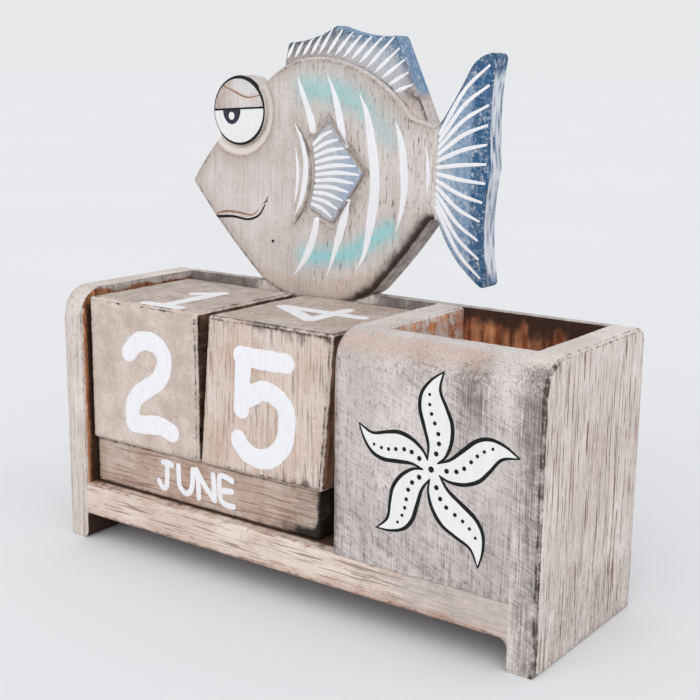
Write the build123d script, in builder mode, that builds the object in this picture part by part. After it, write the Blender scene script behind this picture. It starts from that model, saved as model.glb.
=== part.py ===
"""Desk calendar with a pencil box: a wooden tray with two date cubes, three month bars and a carved fish.

Millimetres, +Z up. X runs along the tray, and the front faces -Y. The origin is under the tray's middle.
"""

import os
from math import sqrt

from build123d import *

os.makedirs("parts", exist_ok=True)

# Boards of the tray
end_thickness = 9.5
base_thickness = 12.0
back_thickness = 8.0
partition_thickness = 11.5
box_front_thickness = 12.5
foot_height = 9.8
well_width = 53.5
front_round = 11.0
back_round = 4.5
edge_ease = 0.8

# Date cubes and month bars
cube_side = 53.5
cube_ease = 0.9
units_lean = 4.5
bar_side = 17.5
bar_ease = 0.8

# Clearances of the loose pieces in the bay
tens_play = 0.9
units_gap = 0.7
units_play = 2.9
bar_play = 0.5
bar_end_gap = 10.0
stack_gap = 0.2
cube_setback = 3.4
lift_gap = 0.8
rim_over_cubes = 2.8

# Fish board and its seat in the back panel
fish_offset = 73.5
fish_sink = 5.8
fish_proud = 1.3
fin_step = 2.3
foot_radius = 56.0
foot_half_width = 25.5
body_ease = 1.4
fin_ease = 0.7
tip_round = 1.8
foot_corner_round = 15.0
hollow_margin = 0.6
glue_line = 0.15
eye_radius = 13.1
eye_cove_width = 3.9
carving_depth = 1.6
gill_depth = 1.2
pectoral_cove_width = 2.2
dowel_diameter = 4.0
dowel_length = 20.0
dowel_spacing = 26.0
dowel_fit = 0.1

# Square brads of the board joints, set below the faces and filled over
brad_side = 1.5
brad_length = 20.0
brad_cover = 2.0
brad_inset = 14.0
brad_clear = 4.0
brad_fit = 0.05

# Overall sizes that follow from the pieces
bay_width = tens_play + 2 * cube_side + units_gap + units_lean + units_play
length = 2 * end_thickness + bay_width + partition_thickness + well_width
depth = cube_setback + cube_side + lift_gap + fish_proud + back_thickness
base_top = foot_height + base_thickness
bar_bottom = base_top + stack_gap
cube_bottom = bar_bottom + bar_side + stack_gap
height = cube_bottom + cube_side + rim_over_cubes
rim_round = min(front_round, box_front_thickness - edge_ease)
rear_round = min(back_round, back_thickness - edge_ease)

# Places of the boards along X and Y
left_x = -length / 2
right_x = length / 2
bay_left_x = left_x + end_thickness
bay_right_x = bay_left_x + bay_width
partition_x = bay_right_x + partition_thickness / 2
well_right_x = right_x - end_thickness
front_y = -depth / 2
back_y = depth / 2
well_front_y = front_y + box_front_thickness
panel_front_y = back_y - back_thickness


def brad_row(points, rotation):
    """Locations of the brads of one joint, each with its middle at a point."""
    return [Location(point, rotation) for point in points]


# Each brad stops short of the outer face by the cover, and runs on into the board behind
base_brad_y = (front_y + brad_inset, back_y - brad_inset)
partition_brad_y = (well_front_y + brad_inset, panel_front_y - brad_inset)
floor_brad_top = foot_height + brad_cover + brad_length
upright_brad_z = (floor_brad_top + brad_clear, height - brad_inset)
brad_reach = brad_cover + brad_length / 2
left_brad_x = left_x + brad_reach
right_brad_x = right_x - brad_reach
floor_brad_z = foot_height + brad_reach
base_mid_z = foot_height + base_thickness / 2
back_mid_y = back_y - back_thickness / 2
front_mid_y = front_y + box_front_thickness / 2

along_x = (0, 90, 0)
along_y = (90, 0, 0)
along_z = (0, 0, 0)
left_base_brads = brad_row([(left_brad_x, y, base_mid_z) for y in base_brad_y], along_x)
right_base_brads = brad_row([(right_brad_x, y, base_mid_z) for y in base_brad_y], along_x)
left_back_brads = brad_row([(left_brad_x, back_mid_y, z) for z in upright_brad_z], along_x)
right_back_brads = brad_row([(right_brad_x, back_mid_y, z) for z in upright_brad_z], along_x)
right_front_brads = brad_row([(right_brad_x, front_mid_y, z) for z in upright_brad_z], along_x)
partition_base_brads = brad_row([(partition_x, y, floor_brad_z) for y in partition_brad_y], along_z)
partition_front_brads = brad_row([(partition_x, front_y + brad_reach, z) for z in upright_brad_z], along_y)
partition_back_brads = brad_row([(partition_x, back_y - brad_reach, z) for z in upright_brad_z], along_y)


def cut_brad_holes(*rows):
    """Cut the holes of whole rows of brads in the part that is being built."""
    hole_side = brad_side + 2 * brad_fit
    with Locations(*[place for row in rows for place in row]):
        Box(hole_side, hole_side, brad_length + 2 * brad_fit, mode=Mode.SUBTRACT)


def end_profile():
    """Side view of an end panel: square feet, a large round at the front and a small one at the back."""
    Rectangle(depth, height, align=(Align.CENTER, Align.MIN))
    fillet(vertices().group_by(Axis.Y)[-1].sort_by(Axis.X)[0], rim_round)
    fillet(vertices().group_by(Axis.Y)[-1].sort_by(Axis.X)[-1], rear_round)


# Left end panel
with BuildPart() as left_end_panel:
    with BuildSketch(Plane.YZ.offset(left_x)):
        end_profile()
    extrude(amount=end_thickness)
    chamfer(faces().sort_by(Axis.X)[0].edges(), edge_ease)
    cut_brad_holes(left_base_brads, left_back_brads)

# Right end panel
with BuildPart() as right_end_panel:
    with BuildSketch(Plane.YZ.offset(well_right_x)):
        end_profile()
    extrude(amount=end_thickness)
    chamfer(faces().sort_by(Axis.X)[-1].edges(), edge_ease)
    cut_brad_holes(right_base_brads, right_back_brads, right_front_brads)

# Base board, which is the floor of the bay and of the well
with BuildPart() as base_board:
    with BuildSketch(Plane.XY.offset(foot_height)):
        with Locations(((bay_left_x + well_right_x) / 2, 0)):
            Rectangle(well_right_x - bay_left_x, depth)
    extrude(amount=base_thickness)
    chamfer(edges().filter_by(Axis.X).group_by(Axis.Y)[0], edge_ease)
    chamfer(edges().filter_by(Axis.X).group_by(Axis.Z)[0].sort_by(Axis.Y)[-1], edge_ease)
    cut_brad_holes(left_base_brads, right_base_brads, partition_base_brads)

# Partition between the bay and the well
with BuildPart() as partition:
    with BuildSketch(Plane.XY.offset(base_top)):
        with Locations((partition_x, (well_front_y + panel_front_y) / 2)):
            Rectangle(partition_thickness, panel_front_y - well_front_y)
    extrude(amount=height - base_top)
    chamfer(edges().filter_by(Axis.Y).group_by(Axis.Z)[-1], edge_ease)
    cut_brad_holes(partition_base_brads, partition_front_brads, partition_back_brads)

# Front board of the well, rounded over in line with the end panels
with BuildPart() as box_front:
    with BuildSketch(Plane.YZ.offset(bay_right_x)):
        with Locations((front_mid_y, base_top)):
            Rectangle(box_front_thickness, height - base_top, align=(Align.CENTER, Align.MIN))
        fillet(vertices().group_by(Axis.Y)[-1].sort_by(Axis.X)[0], rim_round)
    extrude(amount=well_right_x - bay_right_x)
    chamfer(faces().sort_by(Axis.X)[0].edges().group_by(Axis.Y)[0], edge_ease)
    cut_brad_holes(partition_front_brads, right_front_brads)

# Places of the fish, from the lowest point of its round foot
fish_x = left_x + fish_offset
fish_z = height - fish_sink
fish_front_y = panel_front_y - fish_proud
fin_front_y = fish_front_y + fin_step
foot_rise = foot_radius - sqrt(foot_radius**2 - foot_half_width**2)
body_plane = Plane((fish_x, fish_front_y, fish_z), x_dir=(1, 0, 0), z_dir=(0, -1, 0))
fin_plane = Plane((fish_x, fin_front_y, fish_z), x_dir=(1, 0, 0), z_dir=(0, -1, 0))
dowel_half = dowel_spacing / 2
dowel_rise = foot_radius - sqrt(foot_radius**2 - dowel_half**2)
dowel_places = [
    Location((fish_x + side * dowel_half, back_mid_y, fish_z + dowel_rise)) for side in (-1, 1)
]


def bore_dowel_holes():
    """Cut the bores of the fish's dowels in the part that is being built."""
    with Locations(*dowel_places):
        Cylinder(dowel_diameter / 2 + dowel_fit, dowel_length + 2 * dowel_fit, mode=Mode.SUBTRACT)


# Back panel, with the round seat of the fish in its top edge
with BuildPart() as back_panel:
    with BuildSketch(Plane.XY.offset(base_top)):
        with Locations(((bay_left_x + well_right_x) / 2, back_mid_y)):
            Rectangle(well_right_x - bay_left_x, back_thickness)
    extrude(amount=height - base_top)
    fillet(edges().filter_by(Axis.X).group_by(Axis.Z)[-1].sort_by(Axis.Y)[-1], rear_round)
    with BuildSketch(body_plane):
        with Locations((0, foot_radius)):
            Circle(foot_radius + glue_line)
    extrude(amount=-(fish_proud + back_thickness), mode=Mode.SUBTRACT)
    bore_dowel_holes()
    cut_brad_holes(left_back_brads, right_back_brads, partition_back_brads)

# Outline of the fish, from the lowest point of its foot
snout = (-61.2, 42.2)
brow = (-44.0, 62.0)
nape = (-28.0, 76.0)
back_top = (3.0, 89.4)
back_end = (41.0, 69.4)
tail_root_top = (51.4, 66.4)
tail_shoulder = (63.2, 85.2)
tail_tip_top = (73.2, 91.0)
tail_middle = (72.0, 53.6)
tail_tip_bottom = (72.6, 10.9)
tail_root_bottom = (51.4, 36.8)
foot_right = (foot_half_width, foot_rise)
foot_left = (-foot_half_width, foot_rise)
forehead_bulge = 0.9
nape_bulge = 4.2
upper_lobe_bulge = -0.5
upper_rear_bulge = -1.3
lower_rear_bulge = -2.3
lower_lobe_bulge = 3.0
belly_bulge = 0.8
chin_bulge = 1.2
tail_slope_start = 49.0
fin_root_front = (-16.4, 86.4)
fin_tip_front = (-14.6, 94.6)
fin_peak = (7.1, 100.2)
fin_tip_rear = (33.2, 96.7)
fin_root_rear = (47.4, 67.0)
fin_root_middle = (4.0, 70.0)
fin_front_bulge = -1.4
fin_top_bulge = -1.4
pectoral_top = (-1.9, 59.4)
pectoral_crest = (5.6, 66.4)
pectoral_tip = (21.2, 49.2)
pectoral_heel = (7.5, 30.6)
pectoral_bottom = (-3.1, 35.4)
pectoral_hollow = -2.1
gill_top = (-9.5, 65.7)
gill_bottom = (-10.3, 28.7)
gill_bulge = 7.0
gill_width = 1.7
eye_middle = (-36.8, 69.6)
eye_point = body_plane.from_local_coords(Vector(*eye_middle))
hollow_round = body_ease + hollow_margin


def body_outline():
    """Kite-shaped body on a round foot, with a forked tail and the eye standing out of the forehead."""
    with BuildLine() as outline:
        SagittaArc(snout, brow, forehead_bulge)
        Line(brow, nape)
        rise = SagittaArc(nape, back_top, nape_bulge)
        TangentArc(back_top, back_end, tangent=rise % 1)
        Line(back_end, tail_root_top)
        lobe = SagittaArc(tail_root_top, tail_shoulder, upper_lobe_bulge)
        TangentArc(tail_shoulder, tail_tip_top, tangent=lobe % 1)
        SagittaArc(tail_tip_top, tail_middle, upper_rear_bulge)
        SagittaArc(tail_middle, tail_tip_bottom, lower_rear_bulge)
        SagittaArc(tail_tip_bottom, tail_root_bottom, lower_lobe_bulge)
        SagittaArc(tail_root_bottom, foot_right, belly_bulge)
        SagittaArc(foot_right, foot_left, foot_rise)
        SagittaArc(foot_left, snout, chin_bulge)
    make_face(outline.line.edges())
    for tip in (snout, tail_tip_top, tail_tip_bottom):
        fillet(vertices().sort_by_distance(tip)[0], tip_round)
    for corner in (foot_right, foot_left):
        fillet(vertices().sort_by_distance(corner)[0], foot_corner_round)
    with Locations(eye_middle):
        Circle(eye_radius)
    for hollow in (brow, nape, back_end, tail_root_top, tail_root_bottom):
        fillet(vertices().sort_by_distance(hollow)[0], hollow_round)


def dorsal_fin_outline():
    """Fin along the back: a steep front, a low peak and a straight rear edge."""
    with BuildLine() as outline:
        Polyline(fin_root_rear, fin_root_middle, fin_root_front, fin_tip_front)
        SagittaArc(fin_tip_front, fin_peak, fin_front_bulge)
        SagittaArc(fin_peak, fin_tip_rear, fin_top_bulge)
        Line(fin_tip_rear, fin_root_rear)
    make_face(outline.line.edges())
    for tip in (fin_tip_front, fin_tip_rear):
        fillet(vertices().sort_by_distance(tip)[0], tip_round)


def pectoral_outline():
    """Kite-shaped side fin with a hollow front edge."""
    with BuildLine() as outline:
        Polyline(pectoral_top, pectoral_crest, pectoral_tip, pectoral_heel, pectoral_bottom)
        SagittaArc(pectoral_bottom, pectoral_top, pectoral_hollow)
    make_face(outline.line.edges())


def gill_outline():
    """Crescent of the gill cut, which ends in two points."""
    with BuildLine() as outline:
        SagittaArc(gill_top, gill_bottom, gill_bulge)
        SagittaArc(gill_top, gill_bottom, gill_bulge + gill_width)
    make_face(outline.line.edges())


# Fish: one board, with the back fin stepped down, the tail planed thinner and the face carved in low relief
with BuildPart() as fish:
    with BuildSketch(fin_plane):
        dorsal_fin_outline()
    extrude(amount=-(back_y - fin_front_y))
    fillet(faces().filter_by(Axis.Y).group_by(Axis.Y)[0].edges(), fin_ease)
    with BuildSketch(body_plane):
        body_outline()
    extrude(amount=-(back_y - fish_front_y))
    fillet(faces().filter_by(Axis.Y).group_by(Axis.Y)[0].edges(), body_ease)
    # The tail slopes back from its root to a thinner rear edge
    with BuildSketch(Plane.XY.offset(fish_z)):
        with BuildLine():
            Polyline(
                (fish_x + tail_slope_start, fish_front_y),
                (fish_x + tail_tip_top[0], fish_front_y),
                (fish_x + tail_tip_top[0], fin_front_y),
                close=True,
            )
        make_face()
    extrude(amount=tail_tip_top[1], mode=Mode.SUBTRACT)
    # Cove round the eye, deepest at the rim of the eye
    with BuildSketch(Plane(eye_point, x_dir=(1, 0, 0), z_dir=(0, 0, 1))):
        with BuildLine():
            Polyline(
                (eye_radius, 0), (eye_radius + eye_cove_width, 0), (eye_radius, carving_depth), close=True
            )
        make_face()
    revolve(axis=Axis(eye_point, (0, 1, 0)), mode=Mode.SUBTRACT)
    # Pocket with sloping walls round the side fin, which stands in it
    with BuildSketch(body_plane):
        pectoral_outline()
        offset(amount=pectoral_cove_width, kind=Kind.INTERSECTION)
    with BuildSketch(body_plane.offset(-carving_depth)):
        pectoral_outline()
    loft(ruled=True, mode=Mode.SUBTRACT)
    with BuildSketch(body_plane.offset(-carving_depth)):
        pectoral_outline()
    extrude(amount=carving_depth)
    with BuildSketch(body_plane):
        gill_outline()
    extrude(amount=-gill_depth, mode=Mode.SUBTRACT)
    bore_dowel_holes()

# Dowels of the fish
with BuildPart() as fish_dowels:
    with Locations(*dowel_places):
        Cylinder(dowel_diameter / 2, dowel_length)

# Brads of the board joints
brad_rows = (
    left_base_brads,
    right_base_brads,
    left_back_brads,
    right_back_brads,
    right_front_brads,
    partition_base_brads,
    partition_front_brads,
    partition_back_brads,
)
with BuildPart() as carcass_brads:
    with Locations(*[place for row in brad_rows for place in row]):
        Box(brad_side, brad_side, brad_length)

# Date cubes, side by side in the bay
cube_plane = Plane((0, front_y + cube_setback, cube_bottom), x_dir=(1, 0, 0), z_dir=(0, -1, 0))
tens_x = bay_left_x + tens_play
units_x = tens_x + cube_side + units_gap


def cube_profile(start_x, lean):
    """Front view of a cube from its lower left corner, leaning to the right at the top."""
    with BuildLine() as outline:
        Polyline(
            (start_x, 0),
            (start_x + cube_side, 0),
            (start_x + cube_side + lean, cube_side),
            (start_x + lean, cube_side),
            close=True,
        )
    make_face(outline.line.edges())


with BuildPart() as tens_cube:
    with BuildSketch(cube_plane):
        cube_profile(tens_x, 0)
    extrude(amount=-cube_side)
    chamfer(edges(), cube_ease)

with BuildPart() as units_cube:
    with BuildSketch(cube_plane):
        cube_profile(units_x, units_lean)
    extrude(amount=-cube_side)
    chamfer(edges(), cube_ease)

# Month bars, one behind another under the cubes
bar_length = bay_width - bar_play - bar_end_gap
bar_pitch = bar_side + stack_gap
bar_mid_x = bay_left_x + bar_play + bar_length / 2
rear_bar_y = panel_front_y - bar_play - bar_side / 2


def month_bar(row):
    """One four-sided bar, counted from the rear row, as a finished part."""
    with BuildPart() as bar:
        with BuildSketch(Plane.XY.offset(bar_bottom)):
            with Locations((bar_mid_x, rear_bar_y - row * bar_pitch)):
                Rectangle(bar_length, bar_side)
        extrude(amount=bar_side)
        chamfer(edges(), bar_ease)
    return bar.part

# One file for each piece
pieces = {
    "left_end_panel": left_end_panel.part,
    "right_end_panel": right_end_panel.part,
    "base_board": base_board.part,
    "back_panel": back_panel.part,
    "partition": partition.part,
    "box_front": box_front.part,
    "fish": fish.part,
    "fish_dowels": fish_dowels.part,
    "carcass_brads": carcass_brads.part,
    "tens_cube": tens_cube.part,
    "units_cube": units_cube.part,
    "month_bar_rear": month_bar(0),
    "month_bar_middle": month_bar(1),
    "month_bar_front": month_bar(2),
}
for name, piece in pieces.items():
    piece.label = name
    export_step(piece, f"parts/{name}.step")
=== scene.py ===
"""Looks of the desk calendar with pencil box: worn whitewashed wood, painted fish, digits and starfish."""
import math
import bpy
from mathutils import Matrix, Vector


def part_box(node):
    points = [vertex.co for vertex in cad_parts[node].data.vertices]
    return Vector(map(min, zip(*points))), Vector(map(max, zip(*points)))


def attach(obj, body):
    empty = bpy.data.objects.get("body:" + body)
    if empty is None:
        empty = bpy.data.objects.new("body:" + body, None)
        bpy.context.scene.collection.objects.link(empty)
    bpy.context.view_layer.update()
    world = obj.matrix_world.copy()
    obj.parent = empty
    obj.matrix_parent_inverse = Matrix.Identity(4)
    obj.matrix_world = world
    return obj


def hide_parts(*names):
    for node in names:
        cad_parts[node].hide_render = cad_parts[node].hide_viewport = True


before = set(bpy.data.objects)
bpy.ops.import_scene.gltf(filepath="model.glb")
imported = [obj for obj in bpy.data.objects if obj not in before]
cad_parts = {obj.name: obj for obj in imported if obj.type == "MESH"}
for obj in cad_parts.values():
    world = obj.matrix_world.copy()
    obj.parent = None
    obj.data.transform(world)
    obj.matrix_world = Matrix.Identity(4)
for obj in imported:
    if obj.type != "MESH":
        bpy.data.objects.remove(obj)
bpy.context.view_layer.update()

from types import SimpleNamespace

import bmesh
import bpy
import numpy as np
from mathutils import Matrix, Vector, bvhtree, kdtree, noise

MM = 0.001
X, Y, Z = 0, 1, 2


def box_mm(node):
    """Lowest and highest corner of a CAD node, in millimetres."""
    return [np.array(corner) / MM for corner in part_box(node)]


# Places that the looks refer to, from the frame
tray_low, tray_high = box_mm("right_end_panel")
rim_height = tray_high[Z]
base_low, base_high = box_mm("base_board")
well_left = box_mm("partition")[1][X]
well_right = tray_low[X]
box_front_left, box_front_face, _ = box_mm("box_front")[0]
bar_low, bar_high = box_mm("month_bar_front")
fish_front, fish_back = (corner[Y] for corner in box_mm("fish"))
panel_front = box_mm("back_panel")[0][Y]
tens_low, _ = box_mm("tens_cube")
units_low, units_high = box_mm("units_cube")

# Places on the carved fish: its foot along x, its eye, the face of its fins, and the tail's parts along x
fish_foot = -27.0
eye_middle = (-63.3, 159.8)
eye_radius = 13.1
eye_cove = 3.9
fin_face = 26.5
tail_root = 24.8
navy_start = 38.2

# Lines on the fish, by x and z
upper_patch = [(-31, 168.5), (-18, 168), (-7, 164), (6, 152.5)]
lower_patch = [(-31.5, 107.5), (-12, 109.5), (6, 120)]
pectoral_fin = [(-28.4, 149.6), (-20.9, 156.6), (-5.3, 139.4), (-19.0, 120.8), (-29.6, 125.6), (-26.9, 137.6)]
smudge_line = [(11.2, 168.4), (16.6, 165.0), (20.2, 159.0)]
lid_crease = [(-71.5, 169.0), (-66.4, 167.2), (-59.5, 164.8), (-53.0, 165.6)]
belly_line = [(-45.4, 100.7), (-35.2, 99.1), (-23.9, 98.8), (-7.5, 103.8)]
tail_top = [(25, 155), (36, 172), (46.7, 180)]
ray_bases = [
    (-41.4, 179.2), (-34.8, 180.2), (-26.0, 181.0), (-19.0, 180.4),
    (-11.0, 178.7), (-5.0, 176.0), (0.6, 172.8), (6.5, 168.0),
]
ray_tips = [
    (-38.2, 184.6), (-29.0, 186.6), (-20.2, 189.4), (-12.5, 188.0),
    (-3.0, 187.0), (5.6, 186.2), (9.8, 178.7), (13.2, 170.4),
]


# Materials

def paint(red, green, blue):
    """Linear colour from the usual values of 0 to 255."""
    shares = np.array([red, green, blue]) / 255
    linear = np.where(shares > 0.04045, ((shares + 0.055) / 1.055) ** 2.4, shares / 12.92)
    return (*linear.tolist(), 1.0)


WASHED = {
    "pale": (226, 218, 212), "mid": (204, 192, 185), "streak": (150, 120, 101), "pore": (96, 72, 58),
    "dash": (124, 94, 77), "soot": (112, 104, 101), "burn": (46, 34, 28),
    "bare_pale": (190, 146, 118), "bare_deep": (104, 72, 58),
    "streaks": 0.4, "hairs": 1.2, "dashes": 0.6, "specks": 0.35, "pores": 0.5, "brushing": 0.4,
    "blotch_scale": 0.05, "burn_reach": 0.5, "burns": 0.5, "breaks": 0.42, "hatching": 0.0, "lean": 0.8,
}
WELL = dict(WASHED, bare_pale=(230, 162, 116), bare_deep=(146, 74, 38), burn=(50, 30, 22))
CHALK = (204, 210, 216)


class Nodes:
    """Short calls that build one material's node tree."""

    def __init__(self, name):
        self.material = bpy.data.materials.new(name)
        self.material.use_nodes = True
        self.tree = self.material.node_tree
        self.shader = self.tree.nodes["Principled BSDF"]

    def feed(self, socket, value):
        if isinstance(value, bpy.types.NodeSocket):
            self.tree.links.new(value, socket)
        else:
            socket.default_value = value

    def add(self, kind, inputs, output=0, **settings):
        node = self.tree.nodes.new("ShaderNode" + kind)
        for key, value in settings.items():
            setattr(node, key, value)
        for key, value in inputs.items():
            self.feed(node.inputs[key], value)
        return node.outputs[output]

    def math(self, operation, *values):
        return self.add("Math", dict(enumerate(values)), operation=operation)

    def times(self, first, second):
        return self.math("MULTIPLY", first, second)

    def plus(self, first, second):
        return self.math("ADD", first, second)

    def spread(self, value, width):
        """A noise of 0 to 1 spread about zero."""
        return self.math("MULTIPLY_ADD", value, width, -width / 2)

    def millimetres(self, seed=0):
        """Object coordinates, which are the part's own frame, in millimetres, shifted by a seed."""
        metres = self.add("TexCoord", {}, "Object")
        scaled = self.add("VectorMath", {0: metres, "Scale": 1 / MM}, operation="SCALE")
        shift = (61.0 * seed, 23.0 * seed, 41.0 * seed)
        return self.add("VectorMath", {0: scaled, 1: shift}, operation="ADD")

    def squeeze(self, point, along, share):
        """Coordinates that run slowly along one axis, so that a pattern is drawn out along the grain."""
        factors = [1.0, 1.0, 1.0]
        factors[along] = share
        return self.add("VectorMath", {0: point, 1: factors}, operation="MULTIPLY")

    def turn(self, point, axis, angle):
        return self.add("VectorRotate", {"Vector": point, "Axis": axis, "Angle": angle})

    def noise(self, point, scale, detail=3.0, roughness=0.55):
        inputs = {"Vector": point, "Scale": scale, "Detail": detail, "Roughness": roughness}
        return self.add("TexNoise", inputs)

    def smooth(self, value, low, high, low_result=0.0, high_result=1.0):
        inputs = {"From Min": low, "From Max": high, "To Min": low_result, "To Max": high_result}
        return self.add("MapRange", {"Value": value} | inputs, interpolation_type="SMOOTHSTEP")

    def mix(self, share, first, second):
        return self.add("Mix", {0: share, 6: first, 7: second}, 2, data_type="RGBA")

    def over(self, under, texture, low, high, amount, colour):
        """A colour laid over another where a texture rises from low to high."""
        return self.mix(self.smooth(texture, low, high, 0.0, amount), under, colour)

    def attribute(self, name, output="Fac"):
        return self.add("Attribute", {}, output, attribute_name=name)

    def bump(self, height, strength, distance):
        return self.add("Bump", {"Height": height, "Strength": strength, "Distance": distance * MM})

    def shade(self, colour, roughness, specular, **others):
        """Feeds the shader and gives the finished material."""
        inputs = {"Base Color": colour, "Roughness": roughness, "Specular IOR Level": specular} | others
        for key, value in inputs.items():
            self.feed(self.shader.inputs[key], value)
        return self.material


def wood(name, along, seed, base, stained=False, **changes):
    """Whitewashed wood: grain along one axis, pores, bare and sooty places, dark places of burn and painted
    shade, burnt and rubbed edges.
    """
    tone = SimpleNamespace(**{
        key: paint(*value) if isinstance(value, tuple) else value for key, value in (base | changes).items()
    })
    n = Nodes(name)
    point = n.millimetres(seed)
    long_grain = n.squeeze(point, along, 0.03)
    short_grain = n.squeeze(point, along, 0.14)
    blotch = n.noise(point, tone.blotch_scale, 4.0, 0.6)
    streak = n.noise(long_grain, 1.2, 5.0, 0.62)
    fibre = n.noise(long_grain, 3.0, 4.0, 0.6)
    pore = n.noise(short_grain, 1.7, 2.0, 0.5)
    grit = n.noise(point, 1.1, 5.0, 0.7)
    cloud = n.noise(point, 0.22, 5.0, 0.68)
    wear = n.noise(point, 0.45, 5.0, 0.65)
    rings = n.times(n.noise(n.squeeze(point, along, 0.02), 0.3, 3.0, 0.5), 16.0)
    hair = n.smooth(n.math("PINGPONG", rings, 0.5), 0.02, 0.13, 1.0, 0.0)

    # Whitewash with the grain showing through, and brush marks over it
    washed = n.mix(n.smooth(blotch, 0.3, 0.7), tone.pale, tone.mid)
    figure = n.times(n.attribute("figure"), tone.streaks)
    grouped = n.times(n.smooth(streak, 0.47, 0.66), n.smooth(blotch, 0.3, 0.6, 0.5, 1.0))
    washed = n.mix(n.times(grouped, figure), washed, tone.streak)
    hairlines = n.times(hair, n.smooth(wear, 0.42, 0.62, 0.0, tone.hairs))
    washed = n.mix(n.times(hairlines, figure), washed, tone.pore)
    dash = n.smooth(n.noise(n.squeeze(point, along, 0.04), 1.5, 1.0, 0.4), 0.6, 0.66, 0.0, tone.dashes)
    washed = n.mix(n.times(dash, n.attribute("figure")), washed, tone.dash)
    speck = n.smooth(n.noise(point, 1.2, 2.0, 0.5), 0.66, 0.72, 0.0, tone.specks)
    washed = n.mix(speck, washed, tone.pore)
    washed = n.over(washed, fibre, 0.5, 0.75, 0.35, tone.mid)
    washed = n.over(washed, grit, 0.56, 0.78, 0.3, tone.streak)
    pores = n.times(n.times(n.smooth(pore, 0.6, 0.7), tone.pores), n.attribute("pored"))
    washed = n.mix(n.times(pores, n.smooth(cloud, 0.35, 0.6)), washed, tone.pore)
    brushing = n.noise(n.squeeze(n.turn(point, (1.0, 1.0, 0.0), 0.7), Z, 0.08), 0.8, 4.0, 0.6)
    washed = n.over(washed, brushing, 0.5, 0.75, tone.brushing, tone.pale)
    falling, rising = (
        n.noise(n.squeeze(n.turn(point, (0.0, 1.0, 0.0), lean), Z, 0.06), 3.2, 3.0, 0.6)
        for lean in (tone.lean, -tone.lean)
    )
    washed = n.over(washed, falling, 0.5, 0.72, tone.hatching, tone.soot)
    washed = n.over(washed, rising, 0.5, 0.72, tone.hatching, tone.pale)

    # Bare wood and soot, where the attributes put them
    patchy = n.noise(short_grain, 0.4, 4.0, 0.6)
    bare = n.mix(n.smooth(patchy, 0.35, 0.68), tone.bare_pale, tone.bare_deep)
    bare = n.over(bare, streak, 0.45, 0.7, 0.5, tone.bare_deep)
    bare = n.over(bare, fibre, 0.5, 0.72, 0.4, tone.bare_deep)
    bare_place = n.plus(n.attribute("bare"), n.spread(cloud, 0.7))
    colour = n.mix(n.smooth(bare_place, 0.42, 0.6), washed, bare)
    soot_place = n.attribute("soot")
    for texture, width in ((cloud, 0.6), (wear, 0.6), (fibre, 1.3), (falling, 5.0 * tone.hatching)):
        soot_place = n.plus(soot_place, n.spread(texture, width))
    colour = n.over(colour, soot_place, 0.15, 1.0, 0.85, tone.soot)

    if stained:
        amount = n.attribute("stain", "Alpha")
        uneven = n.plus(n.spread(grit, 0.7), n.spread(fibre, 0.5))
        brushed = n.times(n.plus(amount, uneven), n.smooth(amount, 0.0, 0.2))
        fleck = n.plus(n.noise(n.squeeze(point, along, 0.6), 1.5, 4.0, 0.75), n.times(wear, 0.8))
        covered = n.times(n.add("Clamp", {"Value": brushed}), n.smooth(fleck, 0.9, 1.12, 1.0, 0.3))
        colour = n.over(colour, amount, 0.55, 0.85, 0.85, paint(*CHALK))
        colour = n.mix(covered, colour, n.attribute("stain", "Color"))

    # Dark places, which are burn marks and painted shade, and burnt arrises, broken up by noise
    dark_place = n.plus(n.attribute("dark"), n.spread(cloud, 0.8))
    colour = n.over(colour, dark_place, 0.15, 0.9, 0.98, tone.burn)
    ragged = n.spread(wear, 3.2 * tone.burn_reach)
    edge = n.plus(n.attribute("edge"), ragged)
    burnt = n.smooth(edge, 0.1 * tone.burn_reach, tone.burn_reach, tone.burns, 0.0)
    broken = n.times(burnt, n.smooth(cloud, tone.breaks, tone.breaks + 0.18))
    colour = n.mix(broken, colour, tone.burn)

    roughness = n.smooth(fibre, 0.3, 0.7, 0.56, 0.74)
    relief = n.math("SUBTRACT", n.times(fibre, 0.5), pores)
    relief = n.math("SUBTRACT", relief, n.times(n.smooth(streak, 0.5, 0.72), 0.4))
    return n.shade(colour, roughness, 0.3, Normal=n.bump(relief, 0.5, 0.25))


def brushed_paint(name, body, thin, specks, seed):
    """Hand-brushed craft paint: a little uneven, thin in places, with specks of what lies under it."""
    n = Nodes(name)
    point = n.millimetres(seed)
    brushing = n.noise(n.squeeze(point, Z, 0.25), 0.7, 4.0, 0.6)
    speck = n.noise(point, 1.3, 3.0, 0.6)
    colour = n.mix(n.smooth(brushing, 0.4, 0.75), paint(*body), paint(*thin))
    colour = n.over(colour, speck, 0.7, 0.78, 0.6, paint(*specks))
    roughness = n.smooth(brushing, 0.3, 0.7, 0.5, 0.66)
    return n.shade(colour, roughness, 0.2, Normal=n.bump(brushing, 0.15, 0.08))


def steel(name):
    """Bright drawn steel of the hidden brads."""
    n = Nodes(name)
    drawn = n.noise(n.squeeze(n.millimetres(), Z, 0.1), 3.0)
    colour = n.mix(drawn, paint(120, 122, 126), paint(176, 178, 182))
    return n.shade(colour, n.smooth(drawn, 0.3, 0.7, 0.3, 0.5), 0.5, Metallic=1.0)


# Worn copies of the wooden pieces

SHARP = math.radians(20)
FLAT_FRONT = math.radians(10)
SEAM = 0.35 * MM
RUBBED_REACH = 0.9
carcass_boards = ["left_end_panel", "right_end_panel", "base_board", "back_panel", "partition", "box_front"]


def cad_mesh(node):
    """The node's mesh with its doubled vertices joined, as a bmesh."""
    bm = bmesh.new()
    bm.from_mesh(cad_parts[node].data)
    bmesh.ops.remove_doubles(bm, verts=bm.verts, dist=1e-6)
    bm.normal_update()
    return bm


board_trees = {node: bvhtree.BVHTree.FromBMesh(cad_mesh(node)) for node in carcass_boards + ["fish"]}


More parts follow.
